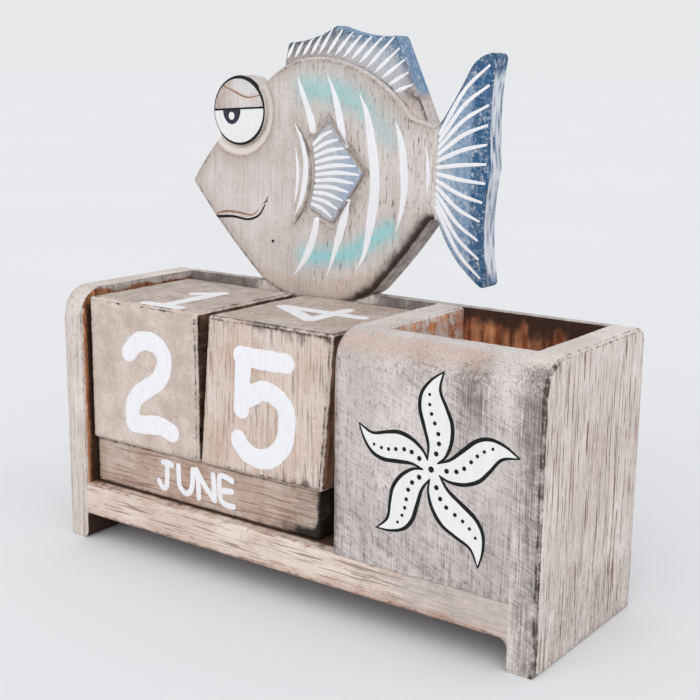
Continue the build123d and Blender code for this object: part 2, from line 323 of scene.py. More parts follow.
def new_piece(name, bm, material, sharp_degrees=None):
    """Smooth-shaded object made of a bmesh, which is used up."""
    mesh = bpy.data.meshes.new(name)
    bm.to_mesh(mesh)
    bm.free()
    mesh.polygons.foreach_set("use_smooth", [True] * len(mesh.polygons))
    if sharp_degrees:
        mesh.set_sharp_from_angle(angle=math.radians(sharp_degrees))
    mesh.materials.append(material)
    piece = bpy.data.objects.new(name, mesh)
    bpy.context.scene.collection.objects.link(piece)
    return piece


def is_edge(edge, front_only):
    """An arris: a sharp edge, or on the carved fish the border of its flat front."""
    if len(edge.link_faces) != 2:
        return False
    if not front_only:
        return edge.calc_face_angle(0) > SHARP
    front = Vector((0, -1, 0))
    return len({face.normal.angle(front, 0) < FLAT_FRONT for face in edge.link_faces}) == 2


def edge_finder(bm, node, front_only, spacing=0.8):
    """Tree of points along the arrises that show; an edge at a glued seam is left out."""
    others = [tree for name, tree in board_trees.items() if name != node and node in carcass_boards]
    points = []
    for edge in bm.edges:
        if not is_edge(edge, front_only):
            continue
        start, end = (vert.co for vert in edge.verts)
        count = max(1, int(edge.calc_length() / (spacing * MM)))
        for step in range(count + 1):
            spot = start.lerp(end, step / count)
            if all(tree.find_nearest(spot, SEAM)[0] is None for tree in others):
                points.append(spot)
    finder = kdtree.KDTree(len(points))
    for index, spot in enumerate(points):
        finder.insert(spot, index)
    finder.balance()
    return finder


def refine(bm, longest, longest_at_edge, front_only):
    """Halves long edges until the mesh is fine enough to carry colours and wear."""
    for _ in range(9):
        long = [
            edge for edge in bm.edges
            if edge.calc_length() > MM * (longest_at_edge if is_edge(edge, front_only) else longest)
        ]
        if not long:
            return
        bmesh.ops.subdivide_edges(bm, edges=long, cuts=1)
        bmesh.ops.triangulate(bm, faces=[face for face in bm.faces if len(face.verts) > 3])
        bm.normal_update()


def worn_feet(node, radius):
    """Rounds the two long lower edges of an end panel, worn by standing."""
    low, high = box_mm(node)

    def reshape(spot):
        for middle, way in ((low[X] + radius, -1), (high[X] - radius, 1)):
            across, down = way * (spot.x - middle), low[Z] + radius - spot.z
            reach = math.hypot(across, down)
            if min(across, down) > 0 and reach > radius:
                spot.x = middle + way * across * radius / reach
                spot.z = low[Z] + radius - down * radius / reach

    return reshape


def filled_corner(spot):
    """Rounds the corner between the base board and the right foot, where whitewash and filler gathered."""
    radius = 3.6
    from_foot = well_right - spot.x
    if from_foot < radius and spot.z < base_low[Z] + 0.2:
        spot.z -= radius - math.sqrt(radius ** 2 - (radius - from_foot) ** 2)


class Spots:
    """Face corners of a mesh: where they are, which way they look, and how far off the next arris is."""

    def __init__(self, points, normals, edge):
        self.points, self.normals, self.edge = points, normals, edge
        self.x, self.y, self.z = points.T

    def toward(self, axis, way=1, low=0.6, high=0.9):
        """1 where the face looks along an axis, or against it for a way of -1; 0 where it doesn't."""
        return ramp(way * self.normals[:, axis], low, high)


def worn_copy(
    node, body, slot, material, marks,
    longest=3.0, longest_at_edge=1.2, chip=0.3, front_only=False, reshape=None,
):
    """Stands for a wooden CAD node: its shape, finely divided, with rubbed arrises and painted-on marks."""
    bm = cad_mesh(node)
    finder = edge_finder(bm, node, front_only)
    refine(bm, longest, longest_at_edge, front_only)
    bm.verts.index_update()
    corners = np.array([vert.index for face in bm.faces for vert in face.verts])
    points = np.array([vert.co for vert in bm.verts])[corners] / MM
    normals = np.repeat([face.normal for face in bm.faces], 3, axis=0)
    to_edge = np.array([finder.find(vert.co)[2] for vert in bm.verts]) / MM
    for vert, distance in zip(bm.verts, to_edge):
        if distance < RUBBED_REACH:
            rough = noise.noise(vert.co * 120) + 0.5 * noise.noise(vert.co * 400)
            vert.co -= vert.normal * chip * MM * max(0.0, rough) * (1 - distance / RUBBED_REACH)
        if reshape:
            spot = vert.co / MM
            reshape(spot)
            vert.co = spot * MM
    piece = new_piece(node + "_worn", bm, material, 28)
    at = Spots(points, normals, to_edge[corners])
    plain = {"edge": at.edge, "bare": 0.0, "soot": 0.0, "dark": 0.0, "figure": 1.0, "pored": 1.0}
    for name, value in (plain | marks(at)).items():
        kind, field = ("FLOAT_COLOR", "color") if name == "stain" else ("FLOAT", "value")
        rows = np.broadcast_to(value, np.shape(value) or at.edge.shape)
        attribute = piece.data.attributes.new(name, kind, "CORNER")
        attribute.data.foreach_set(field, rows.astype(np.float32).ravel())
    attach(piece, body)
    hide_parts(node)


# Marks on the boards: where the wood is bare, sooty, dark with burns or painted shade, stained or strongly
# figured

def ramp(value, low, high):
    """0 below low, 1 above high, smooth between."""
    share = np.clip((value - low) / (high - low), 0, 1)
    return share * share * (3 - 2 * share)


def fade(distance, reach):
    """1 up to a distance of zero, then dying away."""
    return np.exp(-np.clip(distance, 0, None) / reach)


def wave(along, length, height, seed):
    """Slow unevenness along a line, for brushed borders."""
    return np.array([height * noise.noise(Vector((value / length, seed, 0.5))) for value in along])


def smudge(at, middle_x, middle_z, half_width, half_height):
    """A soft round patch on the front."""
    return np.exp(-((at.x - middle_x) / half_width) ** 2 - ((at.z - middle_z) / half_height) ** 2)


def linear(colour):
    """Red, green and blue of a colour of 0 to 255; rows of linear colours stay as they are."""
    return np.array(paint(*colour)[:3]) if isinstance(colour, tuple) else colour


def blend(share, first, second):
    """A row of colours between two, one for each share."""
    return (1 - share)[:, None] * linear(first) + share[:, None] * linear(second)


class Washes:
    """Layers of stain over bare wood, each covering what lies under it by its amount."""

    def __init__(self, at):
        self.colour = np.zeros((len(at.x), 3))
        self.amount = np.zeros(len(at.x))

    def lay(self, amount, colour):
        """colour is one colour, or a row of them, one for each point."""
        amount = np.clip(np.broadcast_to(amount, self.amount.shape), 0, 1)
        total = amount + self.amount * (1 - amount)
        kept = (self.amount * (1 - amount))[:, None] * self.colour
        added = amount[:, None] * np.broadcast_to(linear(colour), self.colour.shape)
        self.colour = (kept + added) / np.maximum(total, 1e-6)[:, None]
        self.amount = total

    def table(self):
        return np.column_stack([self.colour, self.amount])


def bare_inside(at, inner, along, rim_paint=-1.0, unevenness=0.5):
    """Bare wood on an inner face, below a border of whitewash that ran over the rim, and burnt at its top."""
    depth = rim_height - at.z
    border = rim_paint + wave(along, 9.0, unevenness, 3.1)
    bare = inner * ramp(depth - border, -0.4, 0.4)
    drip = 5.5 + wave(along, 1.8, 5.0, 7.3)
    return bare, bare * fade(depth - border, np.maximum(drip, 1.5))


def shade_under_tray(at):
    """The unpainted faces that look under the tray, which get painted shade: the feet's inner sides and the
    board's underside.
    """
    inward = ramp(-at.x * at.normals[:, X], 50, 80)
    return np.maximum(inward, at.toward(Z, -1)) * ramp(base_low[Z] + 0.5 - at.z, 0, 0.5)


def left_panel_marks(at):
    inner = at.toward(X)
    bare, burnt = bare_inside(at, inner, at.y, 1.7, 1.8)
    behind_edge = at.y - tray_low[Y]
    below_rim = ramp(rim_height - at.z, 4, 10)
    # Painted shade: on the inner face in the bay, behind the front edge and below the rim, and on the faces
    # under the tray
    shade = 0.45 * ramp(behind_edge, 0.6, 2.0) + 0.55 * below_rim * ramp(behind_edge, 1.6, 3.8)
    dark = np.maximum(inner * shade + 0.15 * burnt, 0.95 * shade_under_tray(at))
    return {"bare": bare * ramp(behind_edge, 0.4, 1.8), "soot": -0.35, "dark": dark, "figure": 0.65}


def corner_soot(at):
    """Grey smudges towards the front right corner, strongest high up."""
    high = ramp(at.z, 25, 80)
    return 0.23 + (0.4 + 0.16 * high) * ramp(at.x, well_right - 4, well_right + 6)


def right_panel_marks(at):
    bare, burnt = bare_inside(at, at.toward(X, -1), at.y)
    front = at.toward(Y, -1, 0.3, 0.8)
    outer = at.toward(X, 1, 0.5, 0.9)
    low = ramp(70 - at.z, 0, 60)
    corner = front * ramp(at.x, tray_high[X] - 4, tray_high[X] - 0.5)
    rubbed = (at.y < box_front_face + 2) & (at.x > tray_high[X] - 2)
    # dark: burn at the top inside, a worn line along the front corner, and painted shade on the faces under
    # the tray; the outer face is darker towards the bottom
    return {
        "bare": bare, "dark": np.maximum(0.9 * burnt + 0.25 * corner, 0.75 * shade_under_tray(at)),
        "soot": front * corner_soot(at) + outer * (-0.2 + 0.55 * low), "figure": 0.5 + 1.2 * outer,
        "edge": np.where(rubbed, at.edge - 0.1, at.edge + 0.3),
    }


def box_front_marks(at):
    bare, burnt = bare_inside(at, at.toward(Y), at.x)
    front = at.toward(Y, -1, 0.2, 0.9)
    low = ramp(62 - at.z, 0, 35)
    left_edge = fade(at.x - box_front_left, 1.5)
    top_edge = ramp(at.z, rim_height - 9, rim_height - 4) * ramp(rim_height - at.z, 0, 1.5)
    grey = 0.55 * smudge(at, 76, 85, 6.5, 17) + 0.25 * smudge(at, 56, 88, 7, 8)
    rubbed = Washes(at)
    rubbed.lay(0.52 * top_edge * ramp(82 + wave(at.z, 3.0, 8.0, 2.3) - at.x, 0, 8), (186, 156, 139))
    return {
        "bare": bare, "dark": 0.9 * burnt + 0.35 * front * left_edge, "figure": 0.5, "stain": rubbed.table(),
        "soot": front * (corner_soot(at) + 0.2 * low + 0.5 * left_edge + grey),
    }


def partition_marks(at):
    bare, burnt = bare_inside(at, at.toward(X), at.y)
    # The side facing the bay is bare wood under painted shade, in the narrow gap beside the units cube and
    # the bars
    bay_side = at.toward(X, -1)
    return {"bare": 0.5 * bare + bay_side, "dark": 0.1 * burnt + 0.95 * bay_side, "figure": 0.6}


def back_panel_marks(at):
    inside_well = ramp(at.x, well_left - 1, well_left)
    front = at.toward(Y, -1)
    bare, burnt = bare_inside(at, front * inside_well, at.x)
    bay = front * (1 - inside_well)
    rim = ramp(at.z, rim_height - 12, rim_height - 3)
    top = at.toward(Z)
    clear = ramp(np.abs(at.x - fish_foot), 22, 32)
    inner_edge = top * inside_well * fade(at.y - panel_front, 2.0)
    well_corner = front * inside_well * (0.2 + 0.3 * ramp(at.x, well_left, well_right - 5))
    # In the bay the front is dark below the rim: painted shade behind the cubes and bars
    in_bay = bay * (0.85 - 0.85 * rim + 0.35 * rim * clear)
    return {
        "bare": bare, "dark": 1.1 * burnt + well_corner + in_bay + 0.55 * inner_edge,
        "soot": 0.95 * bay * rim * clear + 0.5 * top, "figure": 0.7,
    }


def base_board_marks(at):
    up = at.toward(Z)
    bay = up * ramp(well_left - at.x, 0, 2)
    # Painted shadow on the top at the foot of the bars and under them, and painted shade on the faces under
    # the tray
    behind_bar = ramp(at.y, bar_low[Y] - 2.5, bar_low[Y] + 0.5)
    front_top = ramp(at.z, base_high[Z] - 2.5, base_high[Z]) * ramp(well_left - 12 - at.x, 0, 4)
    low_edge = at.z < (base_low[Z] + base_high[Z]) / 2
    above_edge = ramp(at.z + wave(at.x, 6.0, 2.0, 5.9), base_low[Z] + 1, base_low[Z] + 4.5)
    before_foot = ramp(well_right - at.x, 2, 12)
    whitewash = Washes(at)
    orange = (0.2 + 0.3 * ramp(at.x, well_left - 60, well_left)) * (1 - above_edge) * before_foot
    whitewash.lay(orange, (172, 122, 97))
    whitewash.lay(0.55 * above_edge * ramp(at.x, well_left, well_left + 34), (190, 180, 176))
    return {
        "bare": np.maximum(up - bay, 0.45 * front_top), "dark": bay * behind_bar + 0.7 * shade_under_tray(at),
        "soot": 0.5 * ramp(at.x, well_left - 15, well_left + 20),
        "figure": 1.1 - 0.8 * ramp(at.x, well_left + 10, well_right), "pored": 0.5,
        "edge": np.where(low_edge, at.edge, at.edge + 9), "stain": whitewash.table(),
    }


def cube_sides(at):
    """The sides of a cube that rub in the bay, which are darkened for handling wear and as painted shade in
    the narrow gaps.
    """
    return ramp(np.abs(at.normals[:, X]), 0.6, 0.9)


def tens_cube_marks(at):
    top = at.toward(Z)
    sides = cube_sides(at)
    # The sides are dark with handling wear and with painted shade from the gaps beside the cube
    return {
        "soot": 0.1 + 0.3 * top, "dark": 0.68 * sides + 0.2 * top, "bare": 0.7 * sides + 0.25 * top,
        "figure": 0.35, "pored": 0.3, "edge": at.edge + 0.25 * (at.z < tens_low[Z] + 3),
    }


def units_cube_marks(at):
    front = at.toward(Y, -1)
    bottom = ramp(units_low[Z] + 4 + wave(at.x, 1.5, 5, 1.7) - at.z, 0, 5)
    top = ramp(at.z - units_high[Z] + 6 + wave(at.x, 1.5, 6, 4.2), 0, 6)
    right = ramp(at.x, units_low[X] + 12, units_high[X])
    face_up = at.toward(Z)
    sides = cube_sides(at)
    top_arris = np.exp(-at.edge / 0.6) * (at.z > units_high[Z] - 3)
    # The sides are dark with handling wear and with painted shade from the gaps beside the cube
    handling_and_shade = 0.6 * sides - 0.2 * at.toward(X)
    return {
        "soot": front * (0.08 + 1.2 * bottom * right + 0.9 * top * (0.35 + 0.65 * right)) + 0.45 * face_up,
        "dark": handling_and_shade + front * right * (0.55 * bottom + 0.35 * top) + 0.1 * face_up + 0.5 * top_arris,
        "bare": 0.25 * face_up + 0.8 * sides, "figure": 0.9, "pored": 0.8,
        "edge": np.where(at.z > units_high[Z] - 2, 0.5 * at.edge, at.edge),
    }


def bar_marks(at):
    from_end = np.minimum(at.x - bar_low[X], bar_high[X] - at.x)
    # The ends are dark: burn, and painted shade where they stand against the panels; the lower edge is burnt,
    # most at the right end
    end = np.maximum(ramp(np.abs(at.normals[:, X]), 0.6, 0.9), ramp(1.0 - from_end, 0, 0.8))
    right = ramp(at.x, bar_high[X] - 24, bar_high[X] - 2)
    low_edge = ramp(bar_low[Z] + 8 - at.z, 0, 8)
    return {"soot": 0.12 + 0.3 * right, "dark": 0.85 * end + low_edge * (0.25 + 0.9 * right), "figure": 1.1}


# Marks on the fish: soft washes of colour

def distance_to_line(at, line):
    """Distance in the fish's plane from each point to a line of straight runs."""
    flat = at.points[:, [X, Z]]
    best = np.full(len(flat), 1e9)
    for start, end in zip(np.array(line[:-1]), np.array(line[1:])):
        run = end - start
        share = np.clip((flat - start) @ run / (run @ run), 0, 1)
        best = np.minimum(best, np.linalg.norm(flat - start - share[:, None] * run, axis=1))
    return best


def soft_line(at, line, half_width):
    """A brushed band along a line, fading to both sides."""
    return np.exp(-(distance_to_line(at, line) / half_width) ** 2)


def height_of(line, x):
    """The height of a line at each x."""
    return np.interp(x, *np.array(line).T)


def inside(at, outline):
    """True for the points inside a closed outline in the fish's plane."""
    hit = np.zeros(len(at.x), bool)
    for (ax, az), (bx, bz) in zip(outline, outline[1:] + outline[:1]):
        if az != bz:
            hit ^= ((az > at.z) != (bz > at.z)) & (at.x < (bx - ax) * (at.z - az) / (bz - az) + ax)
    return hit


def fish_marks(at):
    x, y, z = at.x, at.y, at.z
    washes = Washes(at)
    front = at.toward(Y, -1, 0.5, 0.8)
    side = 1 - ramp(np.abs(at.normals[:, Y]), 0.55, 0.85)
    body = front * (y < fin_face - 0.7) * (x < tail_root)

    below_belly = ramp(height_of(belly_line, x) - z, -1.0, 2.5)
    washes.lay(0.55 * below_belly * (x < 20), (198, 174, 154))
    washes.lay(0.45 * np.exp(-at.edge / 3.2) * body, (150, 130, 116))
    fading = 1 - 0.45 * ramp(x, -12, 4)
    washes.lay(0.62 * fading * body * soft_line(at, upper_patch, 5.0), (128, 200, 206))
    washes.lay(0.7 * body * soft_line(at, lower_patch, 4.0), (116, 202, 208))

    from_eye = np.hypot(x - eye_middle[0], z - eye_middle[1])
    cove_edge = eye_radius + eye_cove
    cove = ramp(from_eye, eye_radius - 0.2, eye_radius + 0.3) * ramp(cove_edge - from_eye, -0.3, 0.8)
    washes.lay(0.7 * front * cove, (228, 217, 206))
    rim = np.exp(-((from_eye - eye_radius - eye_cove) / 0.6) ** 2)
    washes.lay(0.5 * body * rim, (140, 100, 78))
    lid = (from_eye < eye_radius - 0.8) & (z > eye_middle[1])
    washes.lay(0.4 * lid * ramp(-x, 62, 74), (150, 116, 98))
    above_crease = ramp(z - height_of(lid_crease, x), 0.2, 1.4)
    washes.lay(0.58 * lid * above_crease * ramp(x, -68.5, -65), (222, 220, 222))

    fin = inside(at, pectoral_fin) * front
    washes.lay(0.75 * fin, blend(ramp(x, -26, -10), (176, 176, 178), (140, 160, 186)))

    # Dorsal fin: dark and grey at the left, blue at the right, with a smudge at its rear end
    set_back = y > fin_face - 0.9
    ray_base = height_of(ray_bases, x)
    dorsal = set_back & (x < 24) & (z > 158) & (z > ray_base - 2.5)
    rise = np.clip((z - ray_base) / np.maximum(height_of(ray_tips, x) - ray_base, 3), 0, 1.2)
    left = ramp(-x, 8, 30)
    low_colour = blend(left, (172, 174, 178), (116, 106, 102))
    high_colour = blend(left, (70, 106, 140), (44, 52, 64))
    fin_colour = blend(ramp(rise, 0.45, 0.95), low_colour, high_colour)
    washes.lay(dorsal * front * ramp(rise, -0.3, 0.25) * 0.9, fin_colour)
    fin_end = front * set_back * (x < 24) * ramp(x, 8, 11)
    washes.lay(0.35 * fin_end, (156, 128, 113))
    washes.lay(0.8 * fin_end * soft_line(at, smudge_line, 1.5), (84, 62, 52))
    washes.lay(0.9 * dorsal * (y > fish_back - 0.3) * ramp(rise, 0.1, 0.5), (92, 126, 160))
    washes.lay(0.95 * dorsal * side * ramp(z, 164, 170), (92, 126, 160))
    washes.lay(0.7 * dorsal * side * ramp(168 - z, 0, 4), (150, 122, 106))

    # Tail: brushed blue, a navy border, and whitewash dragged along its rear side
    tail = ramp(x, tail_root, tail_root + 2.5)
    washes.lay(0.8 * tail, blend(ramp(x, 26, 36), (160, 176, 190), (100, 134, 168)))
    dragged = np.array([noise.noise(Vector(spot)) for spot in at.points * (0.9, 0.9, 0.14)])
    brushed = np.array([noise.noise(Vector(spot) * 0.9) for spot in at.points])
    washes.lay(0.55 * tail * ramp(brushed, 0.05, 0.35), (66, 108, 148))
    navy = ramp(x, navy_start - 0.6, navy_start + 0.6) * tail
    washes.lay(navy * (1 - 0.5 * ramp(brushed, 0.1, 0.4)), (24, 78, 118))
    washes.lay(0.7 * tail * ramp(z - height_of(tail_top, x), -2.5, 0.5), (40, 78, 116))
    rear = tail * at.toward(X, 1, 0.7, 0.9) * ramp(x, 40, 44) * ramp(z, 103, 110) * ramp(177 - z, 0, 5)
    washes.lay(rear * ramp(dragged, -0.6, 0.25), (214, 218, 225))

    lower_right = ramp(x, -22, -4) * ramp(138 - z, 0, 14) * (x < tail_root + 3)
    return {
        "stain": washes.table(), "soot": 0.25 * side * (1 - tail), "figure": 0.7,
        "dark": lower_right * (0.45 * side + 1.05 * body * np.exp(-at.edge / 3.0)),
        "edge": np.where(from_eye < cove_edge + 1.5, at.edge + 9, at.edge),
        "pored": 1 - 0.8 * ramp(-x, 20, 45),
    }


# Dressed pieces of wood

well_wood = wood("washed_well_wood", Z, 1, WELL)
end_wood = wood(
    "washed_end_wood", Z, 9, WELL, streak=(164, 124, 103), pore=(112, 80, 65), soot=(90, 84, 83),
    burn=(60, 38, 30), streaks=0.32, hairs=1.0, burn_reach=0.7, burns=0.9, breaks=0.36,
    hatching=0.16, lean=1.2,
)
box_wood = wood(
    "washed_box_wood", Z, 8, WELL, True, pale=(219, 211, 208), mid=(193, 184, 180), soot=(90, 84, 83),
    streaks=0.2, hairs=0.5, dashes=0.2, specks=0.6, pores=0.6, hatching=0.2, lean=1.2,
)
flat_board = wood(
    "washed_base_wood", X, 2, WASHED, True, pale=(229, 215, 205), mid=(211, 192, 180), streak=(176, 134, 108),
    burn=(78, 52, 40), brushing=0.1, burn_reach=0.8, burns=0.7,
)
end_grain = wood(
    "washed_end_grain_wood", Y, 3, WASHED, pale=(214, 201, 191), mid=(192, 174, 163), blotch_scale=0.12,
    streaks=0.35, brushing=0.25, burns=0.9,
)
side_grain = wood(
    "washed_side_grain_wood", Z, 4, WASHED, pale=(219, 205, 196), mid=(204, 182, 167), streak=(172, 132, 108),
    brushing=0.15, burns=0.9,
)
bar_wood = wood(
    "rubbed_bar_wood", X, 5, WASHED, pale=(204, 186, 175), mid=(182, 156, 140), streak=(138, 104, 84),
    burn=(26, 20, 17), brushing=0.1, burns=0.7,
)
fish_wood = wood(
    "washed_fish_wood", Z, 6, WASHED, True, pale=(219, 212, 208), mid=(202, 192, 187), streak=(166, 140, 122),
    streaks=0.35, hairs=0.6, dashes=0.25, pores=0.9, brushing=0.15, burn_reach=0.7, hatching=0.2, lean=1.45,
)
dowel_wood = wood("plain_dowel_wood", Z, 7, WASHED, pale=(222, 196, 160), mid=(206, 174, 134))

boards = {
    "left_end_panel": (well_wood, left_panel_marks, {"reshape": worn_feet("left_end_panel", 3.2)}),
    "right_end_panel": (end_wood, right_panel_marks, {"reshape": worn_feet("right_end_panel", 1.4)}),
    "box_front": (box_wood, box_front_marks, {}),
    "partition": (well_wood, partition_marks, {}),
    "back_panel": (well_wood, back_panel_marks, {}),
    "base_board": (flat_board, base_board_marks, {"longest": 1.5, "reshape": filled_corner}),
}
for node, (material, marks, options) in boards.items():
    worn_copy(node, "carcass", "tray_wood", material, marks, **options)
worn_copy("tens_cube", "tens_cube", "cube_wood", end_grain, tens_cube_marks)
worn_copy("units_cube", "units_cube", "cube_wood", side_grain, units_cube_marks)
for place in ("rear", "middle", "front"):
    worn_copy("month_bar_" + place, place + "_bar", "bar_wood", bar_wood, bar_marks)
worn_copy("fish", "carcass", "fish_wood", fish_wood, fish_marks, 1.1, 1.1, 0.15, True)

# CAD nodes whose shape is right as it is
for node, material in {"fish_dowels": dowel_wood, "carcass_brads": steel("brad_steel")}.items():
    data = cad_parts[node].data
    data.materials.clear()
    data.materials.append(material)


# Paint: strokes and patches a tenth of a millimetre thick

PAINT_SINK = 0.06
ROUND_END = np.radians([30, 58, 80])
CAP_RINGS = (1.0, 0.96, 0.9, 0.8, 0.6, 0.35)
STROKE_SECTION = [
    (-1.0, 0.0), (-1.0, 0.35), (-0.75, 0.85), (-0.5, 0.93), (-0.25, 0.98), (0.0, 1.0),
    (0.25, 0.98), (0.5, 0.93), (0.75, 0.85), (1.0, 0.35), (1.0, 0.0),
]


def curve(points, step=0.8):
    """Smooth line through the points, with a sample about every step."""
    knots = np.array(points, float)
    padded = np.vstack([2 * knots[0] - knots[1], knots, 2 * knots[-1] - knots[-2]])
    runs = []
    for a, b, c, d in zip(padded, padded[1:], padded[2:], padded[3:]):
        count = max(2, int(np.linalg.norm(c - b) / step))
        t = np.linspace(0, 1, count, endpoint=False)[:, None]
        bend = (2 * a - 5 * b + 4 * c - d) * t**2 + (3 * b - 3 * c + d - a) * t**3
        runs.append(0.5 * (2 * b + (c - a) * t + bend))
    return np.vstack(runs + [knots[-1:]])


def along_line(line, count):
    """Points spread evenly along a line of straight runs, ends included."""
    knots = np.array(line, float)
    length = np.concatenate([[0], np.cumsum(np.linalg.norm(np.diff(knots, axis=0), axis=1))])
    wanted = np.linspace(0, length[-1], count)
    return np.column_stack([np.interp(wanted, length, knots[:, axis]) for axis in (0, 1)])


def oval(middle, half_width, half_height, start, end, count):
    """Points along an oval between two angles, in degrees."""
    turns = np.radians(np.linspace(start, end, count))
    return [(middle[0] + half_width * math.cos(t), middle[1] + half_height * math.sin(t)) for t in turns]


def on_plane(origin, right, up):
    """Maps a face's own two measures and a height above it into the part frame, in millimetres."""
    origin, right, up = (np.array(row, float) for row in (origin, right, up))
    outward = np.cross(right, up)

    def place(flat, height):
        return origin + flat[0] * right + flat[1] * up + height * outward

    return place


def on_fish(flat, height):
    """A point raised above the carved front that lies behind it; past the outline, the nearest edge."""
    spot = Vector((flat[0], fish_front, flat[1])) * MM
    hit = board_trees["fish"].ray_cast(spot - Vector((0, 0.1, 0)), Vector((0, 1, 0)))[0]
    if hit is None:
        hit = board_trees["fish"].find_nearest(spot)[0]
    return np.array(hit) / MM - (0, height, 0)


def bridge(bm, first, second, closed=True):
    """Faces between two rows of as many vertices."""
    for i in range(len(first) if closed else len(first) - 1):
        j = (i + 1) % len(first)
        bm.faces.new((first[i], first[j], second[j], second[i]))


def past_end(sample, ahead, angle):
    """A narrower sample past the end of a stroke, for a round end."""
    spot, across, half = sample
    return spot + ahead * half * math.sin(angle), across, half * math.cos(angle)


class Coat:
    """The paint of one colour on one body, gathered into a single piece."""

    def __init__(self, height, place=None):
        self.bm = bmesh.new()
        self.height = height
        self.place = place
        self.count = 0

    def row(self, spots, height):
        """A vertex at a height above each spot of the face."""
        return [self.bm.verts.new(Vector(self.place(spot, height)) * MM) for spot in spots]

    def own_height(self):
        """Strokes differ a little in height, so that two that cross don't share a surface."""
        return self.height * (1 + 0.02 * (self.count % 9))

    def ring(self, middle, across, half_width):
        """One cross-section of a stroke."""
        ring = []
        for share, rise in STROKE_SECTION:
            height = self.own_height() * rise if rise else -PAINT_SINK
            ring += self.row([middle + across * half_width * share], height)
        return ring

    def stroke(self, points, widths, closed=False):
        """A brush stroke along a smooth line; widths are spread evenly over its length."""
        self.count += 1
        line = curve(points)
        if closed:
            line = line[:-1]
            heading = np.roll(line, -1, axis=0) - np.roll(line, 1, axis=0)
        else:
            heading = np.gradient(line, axis=0)
        heading /= np.linalg.norm(heading, axis=1)[:, None]
        across = np.column_stack([-heading[:, 1], heading[:, 0]])
        half = np.interp(np.linspace(0, 1, len(line)), np.linspace(0, 1, len(widths)), widths) / 2
        half = [
            value * (1 + 0.09 * noise.noise(Vector((spot[0] * 0.35, spot[1] * 0.35, self.count))))
            for value, spot in zip(half, line)
        ]
        samples = list(zip(line, across, half))
        if not closed:
            first, last = samples[0], samples[-1]
            for angle in ROUND_END:
                samples.insert(0, past_end(first, -heading[0], angle))
                samples.append(past_end(last, heading[-1], angle))
        rings = [self.ring(*sample) for sample in samples]
        for before, after in zip(rings, rings[1:] + (rings[:1] if closed else [])):
            bridge(self.bm, before, after)
        if not closed:
            self.bm.faces.new(rings[0])
            self.bm.faces.new(rings[-1])

    def patch(self, outline):
        """A filled shape with a closed outline."""
        self.count += 1
        top = self.row(outline, self.own_height())
        bottom = self.row(outline, -PAINT_SINK)
        faces = [self.bm.faces.new(top), self.bm.faces.new(bottom[::-1])]
        bridge(self.bm, bottom, top)
        bmesh.ops.triangulate(self.bm, faces=faces)

    def ribbon(self, left, right):
        """A filled shape between two lines of as many points each."""
        corners = ((left, self.height), (right, self.height), (right, -PAINT_SINK), (left, -PAINT_SINK))
        rows = [self.row(line, height) for line, height in corners]
        for row, following in zip(rows, rows[1:] + rows[:1]):
            bridge(self.bm, row, following, False)
        for end in (0, -1):
            self.bm.faces.new([row[end] for row in rows])

    def cap(self, outline):
        """A filled round shape that follows a curved face, ring by ring from its outline to its middle."""
        outline = np.array(outline)
        middle = outline.mean(0)
        rings = [self.row(outline, -PAINT_SINK)]
        for share in CAP_RINGS:
            rings.append(self.row(middle + share * (outline - middle), self.height))
        for outer, inner in zip(rings, rings[1:]):
            bridge(self.bm, outer, inner)
        self.bm.faces.new(rings[-1])
        bmesh.ops.triangulate(self.bm, faces=[self.bm.faces.new(rings[0][::-1])])

    def dot(self, middle, radius, squash=1.0):
        self.patch(oval(middle, radius * squash, radius, 0, 360, 15)[:-1])

    def dry(self, name, body, slot, material):
        """Makes the piece and lets it ride on its body."""
        bmesh.ops.recalc_face_normals(self.bm, faces=self.bm.faces)
        piece = new_piece(name, self.bm, material, 50)
        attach(piece, body)


white_paint = brushed_paint("white_paint", (234, 234, 237), (226, 225, 229), (196, 187, 182), 11)
eye_paint = brushed_paint("eye_white_paint", (231, 231, 230), (223, 223, 221), (203, 201, 198), 12)
black_paint = brushed_paint("black_paint", (14, 16, 19), (28, 30, 34), (60, 58, 58), 13)
navy_paint = brushed_paint("pupil_paint", (44, 45, 60), (58, 58, 74), (80, 80, 92), 14)
brown_paint = brushed_paint("brown_line_paint", (146, 110, 90), (170, 140, 122), (196, 178, 166), 15)

FISH_COAT = 0.1
white = Coat(FISH_COAT, on_fish)

